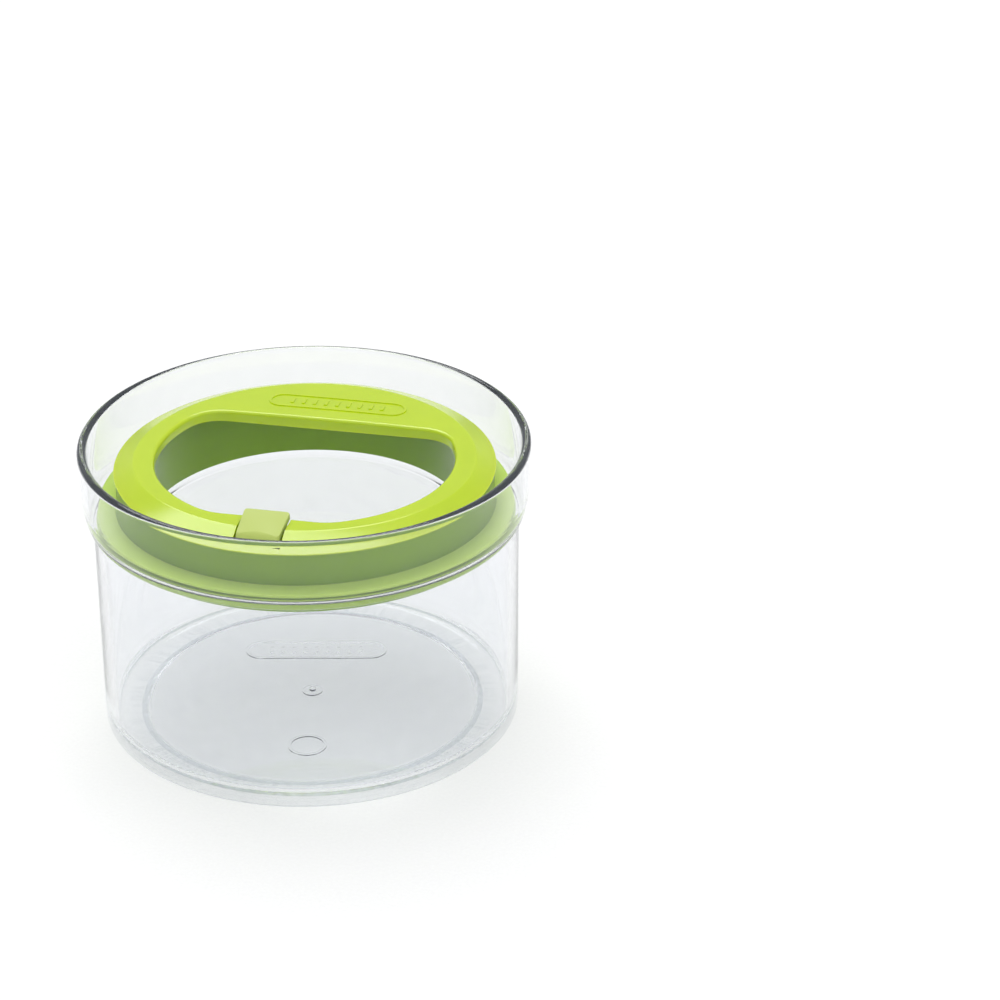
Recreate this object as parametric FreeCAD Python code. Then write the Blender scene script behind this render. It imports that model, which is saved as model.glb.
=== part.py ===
"""Round food container with a snap-in lid, a finger ring and a vent tab.

Frame: millimetres, +Z up, origin at the middle of the underside, vent tab towards -Y.
"""
import FreeCAD
import Part
import math
import os

V = FreeCAD.Vector
ORIGIN = V(0, 0, 0)
UP = V(0, 0, 1)
ACROSS = V(1, 0, 0)

# --- Driving dimensions -------------------------------------------------------
# Container
HEIGHT = 96.2
RIM_R = 72.5
RIM_THICK = 3.0
COLLAR_TAPER_DEG = 1.8
COLLAR_BEND_R = 28.0      # the collar's outside curves in gently, then sharply
SHOULDER_BEND_R = 3.5
SHOULDER_DEG = (18.0, 70.0)   # how far the outside leans in at the two bends' ends
WALL_TOP = (68.6, 71.15)  # radius and height of the crease under the collar
WALL_FOOT_R = 68.2
FOOT_EDGE_R = 1.1
LEDGE_Z = 73.6
LEDGE_R = 65.7            # inside of the tub at the ledge
LEDGE_CORNER_R = 2.2
LEDGE_EDGE_R = 0.8
INNER_FOOT_R = 65.0
FLOOR_CORNER_R = 4.0
COLLAR_IN_R = 69.3
FLOOR_Z = 3.2
RECESS_DEPTH = 1.2
FOOT_R = (53.5, 56.7)     # slope between the base recess and the foot ring

# Lid levels and radii
WINDOW_Z = (62.4, 65.0)
WINDOW_R = (51.1, 52.6)
SHELL_BOTTOM_Z = 66.2
SHELL_TOP_Z = 86.65
SHELL_IN_R = 52.9
SHELL_OUT_R = 60.8
TROUGH_R = (54.6, 58.6)
TROUGH_WEB = 1.9
GASKET_Z = (70.05, 76.2)
GROOVE_R = 60.0
GROOVE_GAP = 0.05
GROOVE_LIP = (63.8, 68.6) # tip radius and underside of the lip below the gasket
RING_R = 61.33
RING_BOTTOM_Z = 86.75
RING_TOP_Z = 90.55
RING_CROWN_R = 1800.0     # the land falls away gently towards both sides
RING_PLATE = 2.4
BEVEL_IN_R = 53.3
BEVEL_MID = (57.4, 88.72)
RING_RIB_R = 55.6         # solid from here out to the edge
LIP = 1.6
LIP_BOTTOM_Z = 86.6

# D-shaped finger opening
OPENING_R = 48.2
CHORD_BACK_Y = 26.3
CHORD_FRONT_Y = -44.6
BACK_CORNER_R = 12.0
FRONT_CORNER_R = 18.0
OPENING_EDGE_R = 1.0

# Vent tab, described closed and then turned to its rest angle
TAB_HALF_W = (6.8, 7.3)   # at the hinge and at the inner end
TAB_EDGE_R = 1.1
TAB_CROWN_R = 45.0
TAB_SHOULDER_Z = 88.5     # where the tab's outer face turns into its top
TAB_INNER_Y = -43.7
TAB_REST_DEG = 11.0
SLOT_HALF_W = 7.65
CHEEK = 2.0               # walls beside the slot
CHEEK_END_Y = -57.4
POCKET_FLOOR = 1.0
POCKET_END_Y = -52.6
SILL_Y = -58.8            # inner side of the strip that closes the slot's outer end
HINGE_Y = -56.9
HINGE_Z = 87.75
BARREL_R = 1.1
PIN_R = 0.55
PIN_REACH = 9.4
PIN_CLEARANCE = 0.05
VENT_Y = -54.1
VENT_BORE_R = 0.8
VENT_BOSS_R = 1.4
VENT_SEAT_Z = 88.0
PLUG_FLANGE = (0.23, 0.8) # room between the tab and the seat, and the flange's height
PLUG_STUD_R = 0.6
PLUG_STUD_TOP = 1.4

# Raised oval marks
LID_MARK_SIZE = (46.5, 9.4)
LID_MARK_AT = (1.1, 38.0)
LID_MARK_RAISED = 0.3
FLOOR_MARK_SIZE = (48.2, 11.6)
FLOOR_MARK_Y = 27.0
FLOOR_MARKS_DEG = 12.0    # the tub is turned this much against the lid
FLOOR_RING_Y = -34.7
FLOOR_RING_R = 6.2
FLOOR_MARK_RAISED = 0.35
MARK_LINE = 0.9
MARK_BARS = 9
BAR_PITCH = 3.8
BAR_SIZE = (1.1, 3.4)
GATE_R = 3.3


# --- Helpers ------------------------------------------------------------------
class Outline:
    """A closed outline of lines and arcs in the (radius, height) plane."""

    def __init__(self, r, z):
        self.start = self.at = (r, z)
        self.edges = []

    @staticmethod
    def point(rz):
        return V(rz[0], 0, rz[1])

    def line(self, *points):
        for rz in points:
            self.edges.append(Part.LineSegment(self.point(self.at), self.point(rz)).toShape())
            self.at = rz
        return self

    def arc(self, middle, end):
        curve = Part.Arc(self.point(self.at), self.point(middle), self.point(end))
        self.edges.append(curve.toShape())
        self.at = end
        return self

    def corner(self, end, vertical_first):
        """A quarter round to end that leaves along the height or along the radius."""
        (r0, z0), (r1, z1) = self.at, end
        s = math.sqrt(0.5)
        if vertical_first:
            return self.arc((r1 + (r0 - r1) * s, z0 + (z1 - z0) * s), end)
        return self.arc((r0 + (r1 - r0) * s, z1 + (z0 - z1) * s), end)

    def bend(self, radius, first, last):
        """An arc along which the outward normal dips from first to last degrees."""
        (r0, z0), dip = self.at, math.radians(first)
        centre = (r0 - radius * math.cos(dip), z0 + radius * math.sin(dip))
        middle, end = (
            (centre[0] + radius * math.cos(a), centre[1] - radius * math.sin(a))
            for a in (math.radians((first + last) / 2), math.radians(last))
        )
        return self.arc(middle, end)

    def face(self):
        if self.at != self.start:
            self.line(self.start)
        return Part.Face(Part.Wire(self.edges))

    def turned(self, degrees=360.0, first=0.0):
        solid = self.face().revolve(ORIGIN, UP, degrees)
        solid.rotate(ORIGIN, UP, first)
        return solid


def box(x, y, z):
    return Part.makeBox(x[1] - x[0], y[1] - y[0], z[1] - z[0], V(x[0], y[0], z[0]))


def disc(radius, z, x=0.0, y=0.0):
    return Part.makeCylinder(radius, z[1] - z[0], V(x, y, z[0]))


def tube(inner, outer, z, x=0.0, y=0.0):
    return disc(outer, z, x, y).cut(disc(inner, z, x, y))


def stadium(length, width, z):
    """A prism with straight sides and round ends, long axis along X."""
    reach = (length - width) / 2
    ends = [disc(width / 2, z, side * reach) for side in (-1, 1)]
    middle = box((-reach, reach), (-width / 2, width / 2), z)
    return middle.fuse(ends).removeSplitter()


def oval_mark(size, z, x, y):
    """A raised oval outline with a row of short bars inside."""
    length, width = size
    inside = stadium(length - 2 * MARK_LINE, width - 2 * MARK_LINE, z)
    pieces = [stadium(length, width, z).cut(inside)]
    bar_x, bar_y = BAR_SIZE[0] / 2, BAR_SIZE[1] / 2
    for i in range(MARK_BARS):
        middle = BAR_PITCH * (i - (MARK_BARS - 1) / 2)
        pieces.append(box((middle - bar_x, middle + bar_x), (-bar_y, bar_y), z))
    for piece in pieces:
        piece.translate(V(x, y, 0))
    return pieces


def save(shape, node):
    solid = shape.removeSplitter()
    solid = solid.Solids[0] if len(solid.Solids) == 1 else solid
    assert solid.isValid() and solid.Volume > 0, node
    assert len(solid.Solids) == 1, node
    solid.exportStep("parts/%s.step" % node)
    print("%-16s %9.1f mm3" % (node, solid.Volume))


# --- Container ----------------------------------------------------------------
def container_body():
    rim_z = HEIGHT - RIM_THICK / 2
    rim_in_r = RIM_R - RIM_THICK
    shell = Outline(FOOT_R[1], 0)
    shell.line((WALL_FOOT_R - FOOT_EDGE_R, 0))
    shell.corner((WALL_FOOT_R, FOOT_EDGE_R), vertical_first=False)
    shell.line(WALL_TOP)
    shell.bend(SHOULDER_BEND_R, SHOULDER_DEG[1], SHOULDER_DEG[0])
    shell.bend(COLLAR_BEND_R, SHOULDER_DEG[0], COLLAR_TAPER_DEG)
    shell.line((RIM_R, rim_z))
    shell.arc((RIM_R - RIM_THICK / 2, HEIGHT), (rim_in_r, rim_z))
    shell.line((COLLAR_IN_R, LEDGE_Z + LEDGE_CORNER_R))
    shell.corner((COLLAR_IN_R - LEDGE_CORNER_R, LEDGE_Z), vertical_first=True)
    shell.line((LEDGE_R + LEDGE_EDGE_R, LEDGE_Z))
    shell.corner((LEDGE_R, LEDGE_Z - LEDGE_EDGE_R), vertical_first=False)
    shell.line((INNER_FOOT_R, FLOOR_Z + FLOOR_CORNER_R))
    shell.corner((INNER_FOOT_R - FLOOR_CORNER_R, FLOOR_Z), vertical_first=True)
    shell.line((0, FLOOR_Z), (0, RECESS_DEPTH), (FOOT_R[0], RECESS_DEPTH))
    body = shell.turned()

    marks_z = (FLOOR_Z - FLOOR_MARK_RAISED, FLOOR_Z + FLOOR_MARK_RAISED)
    marks = oval_mark(FLOOR_MARK_SIZE, marks_z, 0, FLOOR_MARK_Y)
    marks.append(tube(FLOOR_RING_R - MARK_LINE, FLOOR_RING_R, marks_z, y=FLOOR_RING_Y))
    for mark in marks:
        mark.rotate(ORIGIN, UP, FLOOR_MARKS_DEG)
    gate = disc(GATE_R, marks_z).fuse(disc(GATE_R / 3, (FLOOR_Z, FLOOR_Z + 3 * FLOOR_MARK_RAISED)))
    return body.fuse(marks + [gate])


# --- Lid ----------------------------------------------------------------------
def lid_shell():
    """Annular trough, open at the top, with a groove for the gasket outside."""
    bottom = SHELL_BOTTOM_Z
    floor = bottom + TROUGH_WEB
    lip_r, lip_z = GROOVE_LIP
    groove = (GASKET_Z[0] - GROOVE_GAP, GASKET_Z[1] + GROOVE_GAP)
    bead_z, bead = 83.1, 0.65         # the ring's hooks snap under this bead
    slope = GROOVE_R - lip_z + bottom
    trough = Outline(SHELL_IN_R, bottom)
    trough.line((slope, bottom), (GROOVE_R, lip_z), (lip_r, lip_z), (lip_r, groove[0]))
    trough.line((GROOVE_R, groove[0]), (GROOVE_R, groove[1]))
    trough.line((SHELL_OUT_R, groove[1]), (SHELL_OUT_R, SHELL_TOP_Z))
    trough.line((TROUGH_R[1], SHELL_TOP_Z), (TROUGH_R[1], bead_z + bead))
    trough.line((TROUGH_R[1] - bead, bead_z + bead / 2), (TROUGH_R[1] - bead, bead_z - bead / 2))
    trough.line((TROUGH_R[1], bead_z - bead), (TROUGH_R[1], groove[0] + bead))
    trough.line((slope - bead, floor), (TROUGH_R[0], floor), (TROUGH_R[0], SHELL_TOP_Z))
    trough.line((SHELL_IN_R, SHELL_TOP_Z))
    shell = trough.turned()

    boss = disc(VENT_BOSS_R, (bottom, VENT_SEAT_Z), y=VENT_Y)
    well = disc(SHELL_IN_R, (bottom, VENT_SEAT_Z))
    vent = disc(VENT_BORE_R, (bottom - 1, VENT_SEAT_Z + 1), y=VENT_Y)
    return shell.fuse(boss).cut([well, vent])


def lid_window():
    """Clear cup: the wall of the finger well and the window at its bottom."""
    bottom, top = WINDOW_Z
    r_in, r_out = WINDOW_R
    fillet, edge, draft = 1.5, 1.0, 0.1
    gate_r, gate_h = 2.0, 1.0
    cup = Outline(0, bottom)
    cup.line((r_out - edge, bottom))
    cup.corner((r_out, bottom + edge), vertical_first=False)
    cup.line((r_out + draft, SHELL_TOP_Z), (r_in + 2 * draft, SHELL_TOP_Z), (r_in, top + fillet))
    cup.corner((r_in - fillet, top), vertical_first=True)
    cup.line((gate_r, top))
    cup.corner((gate_r - gate_h, top + gate_h), vertical_first=True)
    cup.line((0, top + gate_h))
    return cup.turned()


def lid_gasket():
    """Soft seal: its foot rests on the ledge and a flange above guards the gap."""
    low, high = GASKET_Z
    inner, core = GROOVE_R + GROOVE_GAP, 62.6
    foot_r, foot_z, foot_tip = 66.6, LEDGE_Z + GROOVE_GAP, 0.3
    flange_r, flange_tip, slit = 66.0, 0.55, 0.45
    seal = Outline(inner, low)
    seal.line((core - foot_tip, low), (core, low + foot_tip), (core, foot_z - 2 * foot_tip))
    seal.line((LEDGE_R, foot_z), (foot_r, foot_z))
    seal.arc((foot_r + foot_tip, foot_z + foot_tip), (foot_r, foot_z + 2 * foot_tip))
    seal.line((core + 2 * slit, high - 2 * flange_tip - slit))
    seal.corner((core + slit, high - 2 * flange_tip), vertical_first=False)
    seal.line((flange_r, high - 2 * flange_tip))
    seal.arc((flange_r + flange_tip, high - flange_tip), (flange_r, high))
    seal.line((inner, high))
    return seal.turned()


def opening(grow, z):
    """The D-shaped finger opening as a prism, made larger all round by grow."""
    sides = (CHORD_FRONT_Y - grow, CHORD_BACK_Y + grow)
    reach = OPENING_R + grow
    prism = disc(reach, z).common(box((-reach, reach), sides, z))
    corners = {False: FRONT_CORNER_R + grow, True: BACK_CORNER_R + grow}
    for at_back, radius in corners.items():
        uprights = [
            edge for edge in prism.Edges
            if abs(edge.tangentAt(edge.FirstParameter).z) > 0.99
            and abs(edge.CenterOfMass.y - sides[at_back]) < 0.01
        ]
        prism = prism.makeFillet(radius, uprights)
    return prism


def ring_blank():
    """The ring's outer form: a rounded edge, a bevel and a gently crowned land."""
    edge = 0.25
    form = Outline(0, RING_BOTTOM_Z)
    form.line((RING_R - edge, RING_BOTTOM_Z))
    form.corner((RING_R, RING_BOTTOM_Z + edge), vertical_first=False)
    form.corner((RING_R - edge, RING_BOTTOM_Z + 2 * edge), vertical_first=True)
    form.arc(BEVEL_MID, (BEVEL_IN_R, RING_TOP_Z))
    form.line((BEVEL_IN_R, RING_TOP_Z + 1), (0, RING_TOP_Z + 1))
    return form.turned().common(crown(0.0))


def crown(raise_by):
    """Everything under the land's surface, lifted by raise_by."""
    length = 160.0
    centre = V(0, -length / 2, RING_TOP_Z + raise_by - RING_CROWN_R)
    return Part.makeCylinder(RING_CROWN_R, length, centre, V(0, 1, 0))


def snap_hook(angle):
    """A leg that hangs into the trough and catches under its bead."""
    inner, outer, barb = 56.6, 57.8, 58.35
    top, neck, catch, foot = 88.2, 82.3, 81.9, 80.4
    leg = Outline(inner, top)
    leg.line((outer, top), (outer, neck), (barb, catch), (outer, foot), (inner, foot))
    width = 8.0
    return leg.turned(width, angle - width / 2)


def lid_ring():
    plate_z = RING_TOP_Z - RING_PLATE
    root = 0.4                        # hidden pieces run this far into the plate
    root_z, mark_root_z = plate_z + root, plate_z + 2 * root
    whole = (RING_BOTTOM_Z - 10, RING_TOP_Z + 10)
    ring = ring_blank().cut(opening(0.0, whole))
    top_inner = [
        edge for edge in ring.Edges
        if edge.BoundBox.ZMin > plate_z
        and math.hypot(edge.CenterOfMass.x, edge.CenterOfMass.y) < OPENING_R + 1
        and edge.BoundBox.YMax < CHORD_BACK_Y + 0.1
    ]
    ring = ring.makeFillet(OPENING_EDGE_R, top_inner)
    ring = ring.cut(disc(RING_RIB_R, (whole[0], plate_z)))

    lip = opening(LIP, (LIP_BOTTOM_Z, root_z)).cut(opening(0.0, whole))
    rib = tube(RING_RIB_R - 2 * LIP, RING_RIB_R, (RING_BOTTOM_Z, root_z))
    hooks = [snap_hook(angle) for angle in range(0, 360, 60)]
    side = SLOT_HALF_W + CHEEK
    cheek_y = (CHEEK_END_Y, CHORD_FRONT_Y - LIP / 2)
    cheeks = box((-side, side), cheek_y, (VENT_SEAT_Z - POCKET_FLOOR, root_z))
    ring = ring.fuse([lip, rib, cheeks] + hooks)

    raised = crown(LID_MARK_RAISED)
    marks = oval_mark(LID_MARK_SIZE, (mark_root_z, whole[1]), *LID_MARK_AT)
    ring = ring.fuse([part.common(raised) for part in marks])

    slot_x = (-SLOT_HALF_W, SLOT_HALF_W)
    tab_room = box(slot_x, (SILL_Y, CHORD_FRONT_Y + LIP), (VENT_SEAT_Z, whole[1]))
    hinge_room = box(slot_x, (SILL_Y, POCKET_END_Y), whole)
    pin_hole = hinge_rod(PIN_R + PIN_CLEARANCE / 2, PIN_REACH + PIN_CLEARANCE)
    return ring.cut([tab_room, hinge_room, pin_hole])


# --- Vent tab -----------------------------------------------------------------
def at_rest(shape):
    """Turn a piece from the tab's closed position to the angle it rests at."""
    shape.rotate(V(0, HINGE_Y, HINGE_Z), ACROSS, TAB_REST_DEG)
    return shape


def vent_tab():
    """Lever with a hinge barrel at its outer end, drawn closed in the YZ plane."""
    under, top = VENT_SEAT_Z + 0.3, RING_TOP_Z + 0.15
    barrel_out = HINGE_Y - BARREL_R
    barrel_in = HINGE_Y + BARREL_R
    nose_y, fall_y = TAB_INNER_Y - TAB_EDGE_R, -54.0
    outer_half, inner_half = TAB_HALF_W

    def point(y, z):
        return V(-inner_half, y, z)

    s = math.sqrt(0.5) * TAB_EDGE_R
    nose = point(nose_y + s, top - TAB_EDGE_R + s)
    fall = point((fall_y + barrel_out) / 2 - 0.5, (top + TAB_SHOULDER_Z) / 2 + 0.6)
    side = [
        Part.LineSegment(point(TAB_INNER_Y, under), point(TAB_INNER_Y, top - TAB_EDGE_R)),
        Part.Arc(point(TAB_INNER_Y, top - TAB_EDGE_R), nose, point(nose_y, top)),
        Part.LineSegment(point(nose_y, top), point(fall_y, top)),
        Part.Arc(point(fall_y, top), fall, point(barrel_out, TAB_SHOULDER_Z)),
        Part.LineSegment(point(barrel_out, TAB_SHOULDER_Z), point(barrel_out, HINGE_Z)),
        Part.Arc(point(barrel_out, HINGE_Z), point(HINGE_Y, HINGE_Z - BARREL_R), point(barrel_in, HINGE_Z)),
        Part.LineSegment(point(barrel_in, HINGE_Z), point(barrel_in, under)),
        Part.LineSegment(point(barrel_in, under), point(TAB_INNER_Y, under)),
    ]
    tab = Part.Face(Part.Wire([curve.toShape() for curve in side])).extrude(V(2 * inner_half, 0, 0))
    left = [(-outer_half, barrel_out), (-inner_half, TAB_INNER_Y)]
    plan = left + [(-x, y) for x, y in reversed(left)]
    wedge = Part.makePolygon([V(x, y, 0) for x, y in plan + plan[:1]])
    tab = tab.common(Part.Face(wedge).extrude(V(0, 0, 2 * top)))
    long_edges = [
        edge for edge in tab.Edges
        if edge.BoundBox.XLength < 1 and edge.BoundBox.ZMin > TAB_SHOULDER_Z - 0.01
        and edge.BoundBox.YMax < TAB_INNER_Y - 0.01
    ]
    tab = tab.makeFillet(TAB_EDGE_R - 0.1, long_edges)
    crowned = Part.makeCylinder(TAB_CROWN_R, RING_R, V(0, -RING_R, top - TAB_CROWN_R), V(0, 1, 0))
    tab = tab.common(crowned)

    bore = hinge_rod(PIN_R + PIN_CLEARANCE, PIN_REACH)
    seat = disc(VENT_BOSS_R, (under - 1, under + PLUG_FLANGE[1] - PLUG_FLANGE[0]), y=VENT_Y)
    socket = disc(PLUG_STUD_R, (under, under + PLUG_STUD_TOP), y=VENT_Y)
    return at_rest(tab.cut([bore, seat, socket]))


def vent_plug():
    """Soft stopper: a stem that enters the vent, a flange and a stud in the tab."""
    face = VENT_SEAT_Z + PIN_CLEARANCE
    stem_r, tip_r, stem, tip = 0.45, 0.3, 1.3, 0.4
    flange_r, stud_r = VENT_BOSS_R - PIN_CLEARANCE, PLUG_STUD_R - PIN_CLEARANCE / 2
    flange_z, stud_z = face + PLUG_FLANGE[1], face + PLUG_STUD_TOP
    plug = Outline(0, face - stem)
    plug.line((tip_r, face - stem), (stem_r, face - stem + tip), (stem_r, face), (flange_r, face))
    plug.line((flange_r, flange_z), (stud_r, flange_z), (stud_r, stud_z), (0, stud_z))
    solid = plug.turned()
    solid.translate(V(0, VENT_Y, 0))
    return at_rest(solid)


def hinge_rod(radius, reach):
    return Part.makeCylinder(radius, 2 * reach, V(-reach, HINGE_Y, HINGE_Z), ACROSS)


def tab_hinge_pin():
    chamfer = 0.15
    pin = hinge_rod(PIN_R, PIN_REACH)
    ends = [edge for edge in pin.Edges if edge.BoundBox.XLength < 0.01]
    return pin.makeChamfer(chamfer, ends)


NODES = [container_body, lid_shell, lid_window, lid_gasket, lid_ring, vent_tab, vent_plug, tab_hinge_pin]

os.makedirs("parts", exist_ok=True)
for node in NODES:
    save(node(), node.__name__)
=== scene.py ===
import math

import bmesh
import bpy
from mathutils import Euler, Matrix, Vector


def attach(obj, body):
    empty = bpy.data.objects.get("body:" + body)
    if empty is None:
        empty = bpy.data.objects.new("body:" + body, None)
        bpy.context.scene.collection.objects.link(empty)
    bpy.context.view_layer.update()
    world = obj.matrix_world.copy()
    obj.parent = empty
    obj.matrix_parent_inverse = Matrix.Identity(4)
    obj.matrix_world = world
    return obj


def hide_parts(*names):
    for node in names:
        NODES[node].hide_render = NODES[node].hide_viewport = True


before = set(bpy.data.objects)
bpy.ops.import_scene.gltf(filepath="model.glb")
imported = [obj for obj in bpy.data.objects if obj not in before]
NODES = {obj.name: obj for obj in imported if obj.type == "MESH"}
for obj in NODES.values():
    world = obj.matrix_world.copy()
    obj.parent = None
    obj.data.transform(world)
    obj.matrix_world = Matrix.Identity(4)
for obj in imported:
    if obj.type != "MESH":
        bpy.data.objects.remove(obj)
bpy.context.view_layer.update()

MM = 0.001


# --- Camera, fitted to the photograph -----------------------------------------
CAMERA_AZIMUTH = math.radians(12.0)      # turned this far round from looking along +Y
CAMERA_AT = Vector((62.43, -954.65, 560.15)) * MM   # before that turn
CAMERA_PITCH = math.radians(27.0)
CAMERA_ROLL = math.radians(-0.17)
CAMERA_LENS = 119.57                     # in the same millimetres as SENSOR
SENSOR = 36.0
CAMERA_REACH = 50.0


def make_camera():
    data = bpy.data.cameras.new("camera")
    data.lens = CAMERA_LENS
    data.sensor_width = SENSOR
    data.clip_end = CAMERA_REACH
    camera = bpy.data.objects.new("camera", data)
    bpy.context.scene.collection.objects.link(camera)
    camera.location = CAMERA_AT
    camera.location.rotate(Euler((0, 0, CAMERA_AZIMUTH)))
    aim = Euler((math.pi / 2 - CAMERA_PITCH, 0, CAMERA_AZIMUTH)).to_matrix()
    roll = Euler((0, 0, CAMERA_ROLL)).to_matrix()
    camera.rotation_euler = (aim @ roll).to_euler()
    bpy.context.scene.camera = camera


# --- Finely turned copies of the clear round parts ----------------------------
HAIR = 1e-6                              # anything smaller counts as nothing
SAME_POINT = HAIR / 10                   # points this close are one
FLOOR_FLAT = (61.0 * MM, 3.2 * MM)       # radius and height where the tub's flat floor ends
TURNED_STEPS = 720
SHARP_BEND = math.radians(12.0)
BRACE = 0.25 * MM                        # keeps the shading of a flat run flat up to its ends
LONG_RUN = 6 * BRACE                     # a run longer than this is braced


def merged(mesh):
    """An editable copy of a mesh, with its doubled points made one."""
    work = bmesh.new()
    work.from_mesh(mesh)
    bmesh.ops.remove_doubles(work, verts=work.verts[:], dist=SAME_POINT)
    return work


def in_line(a, b, c):
    across = (b[0] - a[0]) * (c[1] - b[1]) - (b[1] - a[1]) * (c[0] - b[0])
    return abs(across) < HAIR * HAIR


def section(mesh):
    """A round node's outline over +X, from the axis underneath to the axis on top."""
    work = merged(mesh)
    for normal in ((0, 1, 0), (1, 0, 0)):
        whole = work.verts[:] + work.edges[:] + work.faces[:]
        bmesh.ops.bisect_plane(
            work, geom=whole, plane_co=(0, 0, 0), plane_no=normal, dist=SAME_POINT)
    beside = {}
    for edge in work.edges:
        if all(abs(v.co.y) < HAIR and v.co.x > -HAIR for v in edge.verts):
            for v in edge.verts:
                beside.setdefault(v, []).append(edge.other_vert(v))
    bottom, top = sorted((v for v in beside if v.co.x < HAIR), key=lambda v: v.co.z)
    walk = [bottom, beside[bottom][0]]
    while walk[-1] is not top:
        walk.append(next(v for v in beside[walk[-1]] if v is not walk[-2]))
    points = [(v.co.x, v.co.z) for v in walk]
    work.free()
    inner = [b for a, b, c in zip(points, points[1:], points[2:]) if not in_line(a, b, c)]
    return [points[0]] + inner + [points[-1]]


def braced(outline):
    """The same outline with a point close to each end of every long run."""
    points = outline[:1]
    for (r0, z0), (r1, z1) in zip(outline, outline[1:]):
        length = math.hypot(r1 - r0, z1 - z0)
        if length > LONG_RUN:
            near = BRACE / length
            points += [(r0 + (r1 - r0) * t, z0 + (z1 - z0) * t) for t in (near, 1 - near)]
        points.append((r1, z1))
    return points


def turn(work, outline):
    """Adds the outline turned round Z, with one shared point where it meets the axis."""
    last = None
    for r, z in outline:
        if r < HAIR:
            ring = [work.verts.new((0, 0, z))] * TURNED_STEPS
        else:
            angles = (2 * math.pi * i / TURNED_STEPS for i in range(TURNED_STEPS))
            ring = [work.verts.new((r * math.cos(a), r * math.sin(a), z)) for a in angles]
        if last:
            for i in range(TURNED_STEPS):
                corners = (last[i - 1], last[i], ring[i], ring[i - 1])
                work.faces.new(dict.fromkeys(corners))       # three of them at the axis
        last = ring


def finished(work, name, node, body):
    """Makes the turned shape a piece that stands in for a node; level faces stay flat."""
    bmesh.ops.recalc_face_normals(work, faces=work.faces[:])
    mesh = bpy.data.meshes.new(name)
    work.to_mesh(mesh)
    work.free()
    mesh.set_sharp_from_angle(angle=SHARP_BEND)      # this smooths every face
    smooth = [abs(p.normal.z) < 1 - HAIR for p in mesh.polygons]
    mesh.polygons.foreach_set("use_smooth", smooth)
    piece = bpy.data.objects.new(name, mesh)
    bpy.context.scene.collection.objects.link(piece)
    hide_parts(node)
    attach(piece, body)
    return piece


def fine_tub():
    """The tub turned finely, with its own floor and raised floor marks kept inside."""
    outline = section(NODES["container_body"].data)
    flat_r, flat_z = FLOOR_FLAT
    work = merged(NODES["container_body"].data)
    outside = [
        v for v in work.verts
        if v.co.xy.length > flat_r + HAIR or v.co.z < flat_z - HAIR
    ]
    bmesh.ops.delete(work, geom=outside, context="VERTS")
    flat = [f for f in work.faces if all(abs(v.co.z - flat_z) < HAIR for v in f.verts)]
    bmesh.ops.delete(work, geom=flat, context="FACES")
    reached = next(
        i for i, (r, z) in enumerate(outline)
        if abs(z - flat_z) < HAIR and r < flat_r + HAIR)
    turn(work, braced(outline[:reached + 1]) + [(flat_r - BRACE, flat_z)])
    around = [e for e in work.edges if e.is_boundary]
    bmesh.ops.triangle_fill(work, edges=around, use_beauty=True, normal=(0, 0, 1))
    return finished(work, "clear_tub", "container_body", "container")


def fine_window():
    work = bmesh.new()
    turn(work, braced(section(NODES["lid_window"].data)))
    return finished(work, "clear_window", "lid_window", "lid")


# --- Node helpers -------------------------------------------------------------
NOISE_LOW, NOISE_HIGH = 0.3, 0.7         # nearly all of a noise field lies between these


class Tree:
    """Builds a material's nodes."""

    def __init__(self, name):
        self.material = bpy.data.materials.new(name)
        self.material.use_nodes = True
        self.nodes = self.material.node_tree.nodes
        self.links = self.material.node_tree.links
        self.nodes.clear()
        self.output = self.nodes.new("ShaderNodeOutputMaterial")

    def add(self, kind, settings=(), **inputs):
        """Adds a node. An input goes by its name, with _ for a space, or by _ and its number."""
        node = self.nodes.new("ShaderNode" + kind)
        for key, value in dict(settings).items():
            setattr(node, key, value)
        for key, value in inputs.items():
            socket = node.inputs[int(key[1:]) if key[0] == "_" else key.replace("_", " ")]
            if isinstance(value, bpy.types.NodeSocket):
                self.links.new(value, socket)
            else:
                socket.default_value = value
        return node

    def show(self, shader):
        self.links.new(shader, self.output.inputs["Surface"])
        return self.material


def srgb(r, g, b):
    """Linear RGBA of an 8-bit sRGB colour."""
    def linear(c):
        c /= 255
        return c / 12.92 if c <= 0.04045 else ((c + 0.055) / 1.055) ** 2.4
    return (linear(r), linear(g), linear(b), 1.0)


def noise(tree, pattern):
    """A noise field fixed to the object."""
    scale, detail = pattern
    place = tree.add("TexCoord").outputs["Object"]
    return tree.add("TexNoise", Vector=place, Scale=scale, Detail=detail).outputs["Fac"]


def ranged(tree, pattern, low, high):
    """A noise field that runs from low to high."""
    field = tree.add(
        "MapRange", Value=noise(tree, pattern),
        From_Min=NOISE_LOW, From_Max=NOISE_HIGH, To_Min=low, To_Max=high)
    return field.outputs["Result"]


def varied(tree, pattern, middle, share):
    """A noise field that strays from its middle by a share of it."""
    return ranged(tree, pattern, middle * (1 - share), middle * (1 + share))


def bumps(tree, pattern, strength, depth):
    bump = tree.add("Bump", Strength=strength, Distance=depth, Height=noise(tree, pattern))
    return bump.outputs["Normal"]


def mixed_colour(tree, share, first, second):
    """Two colours mixed, with the given share of the second."""
    mix = tree.add("Mix", {"data_type": "RGBA"}, _0=share, _6=first, _7=second)
    return mix.outputs[2]


def mixed(tree, share, first, second):
    """Two shaders mixed, with the given share of the second."""
    return tree.add("MixShader", _0=share, _1=first, _2=second).outputs["Shader"]


def principled(tree, **inputs):
    return tree.add("BsdfPrincipled", **inputs).outputs["BSDF"]


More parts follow.
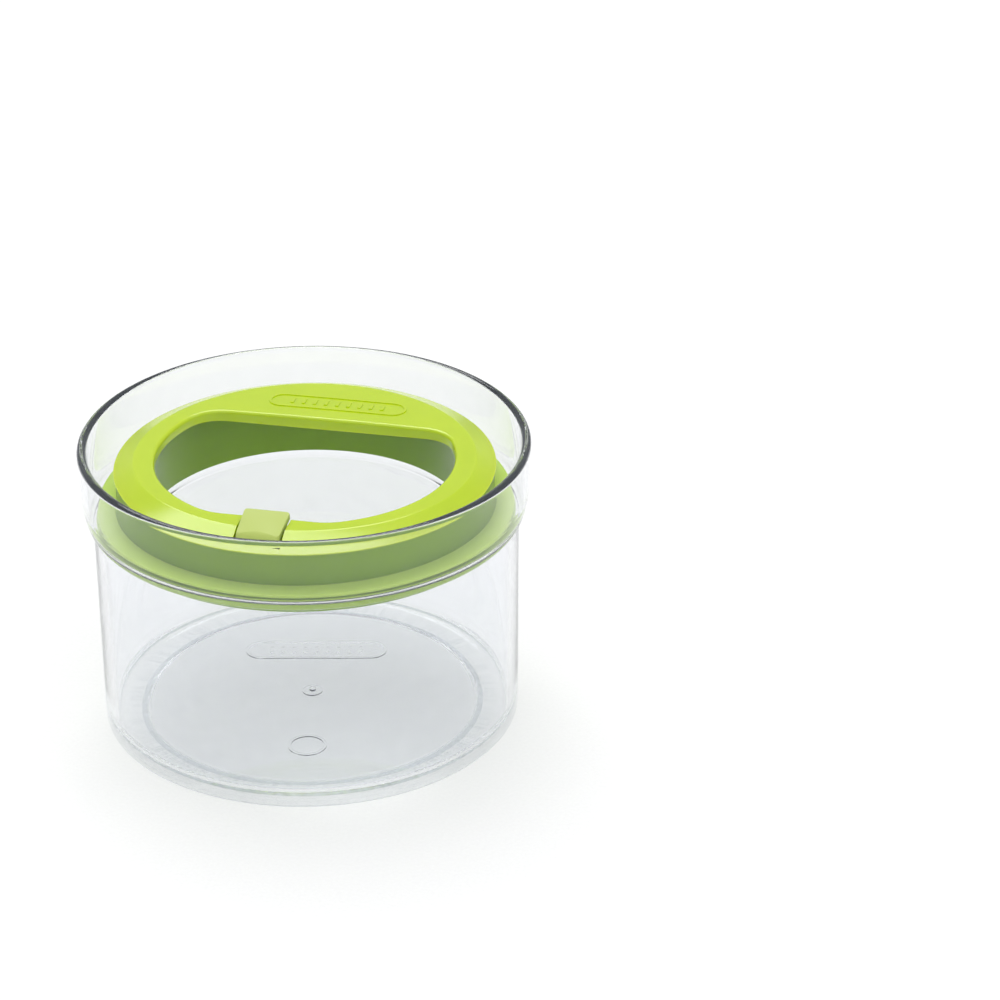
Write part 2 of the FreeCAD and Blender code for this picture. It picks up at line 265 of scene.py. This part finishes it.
# --- Looks --------------------------------------------------------------------
# Each pattern's features per metre, and its levels of detail
FLOW_MARKS = (45.0, 3.0)
GRAIN = (2600.0, 2.0)
SMUDGES = (110.0, 4.0)
RIPPLES = (60.0, 2.0)
SMEARS = (300.0, 5.0)
# patches of the clear plastic's haze, which is partly painted bluish light
HAZE_AND_LIGHT_PATCHES = (180.0, 6.0)
SCUFFS = (400.0, 6.0)
TURNING_MARKS = (900.0, 3.0)

GRAIN_DEPTH = 0.2 * MM
SMUDGE_SHARE = 0.15                          # how unevenly a moulded part shines
GLOW_DEPTH = 3.0 * MM                        # how far light spreads inside a glowing plastic
GLOW_SPREAD = (1.0, 1.0, 0.3)                # shares of that depth for red, green and blue

CLEAR_TINT = (0.950, 0.957, 0.972, 1.0)
WINDOW_TINT = (0.985, 0.99, 0.995, 1.0)
CLEAR_ROUGH = 0.015
SMEAR_SHARE = 0.5
RIPPLE_STRENGTH = 0.03
RIPPLE_DEPTH = 0.5 * MM
# A thin haze on the clear plastic, tinted blue-grey as painted light for the bluish light
# carried inside its walls
HAZE_AND_LIGHT_TINT = (0.40, 0.45, 0.58, 1.0)
HAZE_AND_LIGHT_ROUGH = 0.6
HAZE_AND_LIGHT_STRAY = 0.4
SCUFF_TINT = (0.74, 0.77, 0.80, 1.0)
SCUFF_ROUGH = 0.7
SCUFF_REACH = 0.9 * MM                       # height up to which the foot is scuffed
SCUFF_COVER = (0.65, 0.95)                   # how much the scuffs hide, at least and at most
SOFT_LIGHT_LEFT = (0.95, 0.955, 0.96, 1.0)   # what each clear surface lets through

STEEL = (0.6, 0.6, 0.62, 1.0)
STEEL_ROUGH = (0.25, 0.45)


def moulded(name, colour, darker, rough, gloss=0.35, sheen=0.0, glow=0.0, grain=0.02):
    """Opaque moulded plastic or rubber: faint flow marks, a fine grain and uneven gloss."""
    tree = Tree(name)
    flow = ranged(tree, FLOW_MARKS, 0.0, 1.0)
    return tree.show(principled(
        tree,
        Base_Color=mixed_colour(tree, flow, colour, darker),
        Roughness=varied(tree, SMUDGES, rough, SMUDGE_SHARE),
        Normal=bumps(tree, GRAIN, grain, GRAIN_DEPTH),
        Specular_IOR_Level=gloss,
        Sheen_Weight=sheen,
        Subsurface_Weight=glow,
        Subsurface_Scale=GLOW_DEPTH,
        Subsurface_Radius=GLOW_SPREAD,
    ))


def clear(name, tint, haze_and_light_share, ior):
    """Polished, faintly rippled clear plastic with a thin blue-grey haze, which is partly
    painted light standing in for the bluish light carried inside its walls, and scuffs where it
    stands.

    Soft light passes straight through it.
    """
    tree = Tree(name)
    glass = principled(
        tree,
        Base_Color=tint,
        Roughness=varied(tree, SMEARS, CLEAR_ROUGH, SMEAR_SHARE),
        Normal=bumps(tree, RIPPLES, RIPPLE_STRENGTH, RIPPLE_DEPTH),
        IOR=ior,
        Transmission_Weight=1.0,
    )
    # Haze on the plastic, partly painted light: its blue-grey tint stands in for light carried
    # inside the walls
    haze_and_light = principled(tree, Base_Color=HAZE_AND_LIGHT_TINT, Roughness=HAZE_AND_LIGHT_ROUGH)
    with_haze_and_light = mixed(tree, varied(tree, HAZE_AND_LIGHT_PATCHES, haze_and_light_share, HAZE_AND_LIGHT_STRAY), glass, haze_and_light)
    scuff = principled(tree, Base_Color=SCUFF_TINT, Roughness=SCUFF_ROUGH)
    solid = mixed(tree, scuffing(tree), with_haze_and_light, scuff)
    passing = tree.add("BsdfTransparent", Color=SOFT_LIGHT_LEFT).outputs["BSDF"]
    ray = tree.add("LightPath").outputs
    soft_ray = tree.add(
        "Math", {"operation": "MAXIMUM"}, _0=ray["Is Shadow Ray"], _1=ray["Is Diffuse Ray"])
    return tree.show(mixed(tree, soft_ray.outputs[0], solid, passing))


def scuffing(tree):
    """How scuffed the plastic is: unevenly on the foot that it stands on, and nowhere else."""
    place = tree.add("TexCoord").outputs["Object"]
    height = tree.add("SeparateXYZ", Vector=place).outputs["Z"]
    low = tree.add("MapRange", Value=height, From_Min=SCUFF_REACH, From_Max=SCUFF_REACH / 2)
    patchy = ranged(tree, SCUFFS, *SCUFF_COVER)
    return tree.add(
        "Math", {"operation": "MULTIPLY"}, _0=low.outputs["Result"], _1=patchy).outputs[0]


def metal(name, colour, rough):
    """Turned metal, with its roughness running between the two given."""
    tree = Tree(name)
    return tree.show(principled(
        tree, Base_Color=colour, Metallic=1.0, Roughness=ranged(tree, TURNING_MARKS, *rough)))


def paint(piece, material):
    piece.data.materials.clear()
    piece.data.materials.append(material)


def make_materials(tub, window):
    paint(tub, clear("clear_tub", CLEAR_TINT, haze_and_light_share=0.02, ior=1.49))
    # A lower index than plastic's keeps the cup's reflections from veiling the well
    paint(window, clear("clear_window", WINDOW_TINT, haze_and_light_share=0.004, ior=1.28))
    lime = moulded(
        "lime_plastic", srgb(190, 214, 14), srgb(185, 210, 8), rough=0.17, gloss=0.75, glow=0.5)
    green = moulded(
        "green_shell", srgb(127, 163, 16), srgb(122, 158, 12), rough=0.38, gloss=0.12)
    soft = moulded(
        "gasket_rubber", srgb(189, 217, 92), srgb(183, 212, 84), rough=0.5, sheen=0.1)
    tab = moulded(
        "tab_soft", srgb(188, 203, 108), srgb(183, 199, 100), rough=0.5, sheen=0.1, grain=0.06)
    paint(NODES["lid_ring"], lime)
    paint(NODES["lid_shell"], green)
    paint(NODES["lid_gasket"], soft)
    paint(NODES["vent_tab"], tab)
    paint(NODES["vent_plug"], soft)
    paint(NODES["tab_hinge_pin"], metal("pin_steel", STEEL, STEEL_ROUGH))


# --- Stage --------------------------------------------------------------------
FLOOR_REACH = 6.0                        # from the middle to each side
FLOOR_GLOW = 0.6                         # the floor's own light, which shadows don't take away
FLOOR_TONES = (0.61, 0.61, 0.61, 1.0), (0.59, 0.59, 0.59, 1.0)
FLOOR_BOUNCE = (0.85, 0.86, 0.87, 1.0)   # its colour for the light that it throws back up
FIBRES = (900.0, 4.0)                    # a pattern, as above
TENT = (       # height of each stop, from the horizon at 0 to overhead at 1, and its colour
    (0.0, (0.150, 0.190, 0.275)),
    (0.22, (0.66, 0.66, 0.66)),
    (0.6, (0.50, 0.51, 0.53)),
    (1.0, (1.0, 1.0, 1.0)),
)
LAMPS = (      # where each soft light stands, how wide it looks and how strong it is
    ("key", (-0.25, 0.45, 0.86), 42.0, 1.38),
    ("side", (0.8, 0.1, 0.6), 30.0, 0.27),
    ("front", (0.1, -0.75, 0.65), 60.0, 0.27),
)
LIGHT_BOUNCES = 24
CLEAR_LAYERS = 16


def make_floor():
    """White backlit sheet, which throws light back up without its own glow."""
    mesh = bpy.data.meshes.new("floor")
    sides = ((-1, -1), (1, -1), (1, 1), (-1, 1))
    corners = [(x * FLOOR_REACH, y * FLOOR_REACH, 0) for x, y in sides]
    mesh.from_pydata(corners, [], [(0, 1, 2, 3)])
    floor = bpy.data.objects.new("floor", mesh)
    bpy.context.scene.collection.objects.link(floor)
    tree = Tree("floor_paper")
    tone = mixed_colour(tree, ranged(tree, FIBRES, 0.0, 1.0), *FLOOR_TONES)
    paper = tree.add("BsdfDiffuse", Color=tone)
    glow = tree.add("Emission", Color=tone, Strength=FLOOR_GLOW)
    lit = tree.add("AddShader", _0=paper.outputs["BSDF"], _1=glow.outputs["Emission"])
    bounce = tree.add("BsdfDiffuse", Color=FLOOR_BOUNCE)
    soft_ray = tree.add("LightPath").outputs["Is Diffuse Ray"]
    mesh.materials.append(tree.show(
        mixed(tree, soft_ray, lit.outputs["Shader"], bounce.outputs["BSDF"])))


def make_world():
    """A white tent, brightest overhead and dark blue-grey at the horizon."""
    world = bpy.data.worlds.new("studio")
    bpy.context.scene.world = world
    world.use_nodes = True
    nodes, links = world.node_tree.nodes, world.node_tree.links
    place = nodes.new("ShaderNodeTexCoord")
    split = nodes.new("ShaderNodeSeparateXYZ")
    ramp = nodes.new("ShaderNodeValToRGB")
    links.new(place.outputs["Generated"], split.inputs[0])
    links.new(split.outputs["Z"], ramp.inputs["Fac"])
    links.new(ramp.outputs["Color"], nodes["Background"].inputs["Color"])
    stops = ramp.color_ramp.elements         # it starts with the stops at 0 and 1
    for height, _ in TENT[1:-1]:
        stops.new(height)
    for stop, (_, colour) in zip(stops, TENT):
        stop.color = (*colour, 1.0)


def make_lights():
    for name, towards, width, strength in LAMPS:
        data = bpy.data.lights.new(name, "SUN")
        data.energy = strength
        data.angle = math.radians(width)
        lamp = bpy.data.objects.new(name, data)
        bpy.context.scene.collection.objects.link(lamp)
        lamp.rotation_euler = Vector(towards).to_track_quat("Z", "Y").to_euler()


def set_view():
    scene = bpy.context.scene
    scene.view_settings.view_transform = "Standard"
    scene.cycles.max_bounces = LIGHT_BOUNCES
    scene.cycles.transmission_bounces = LIGHT_BOUNCES
    scene.cycles.transparent_max_bounces = CLEAR_LAYERS


make_camera()
make_materials(fine_tub(), fine_window())
make_floor()
make_world()
make_lights()
set_view()
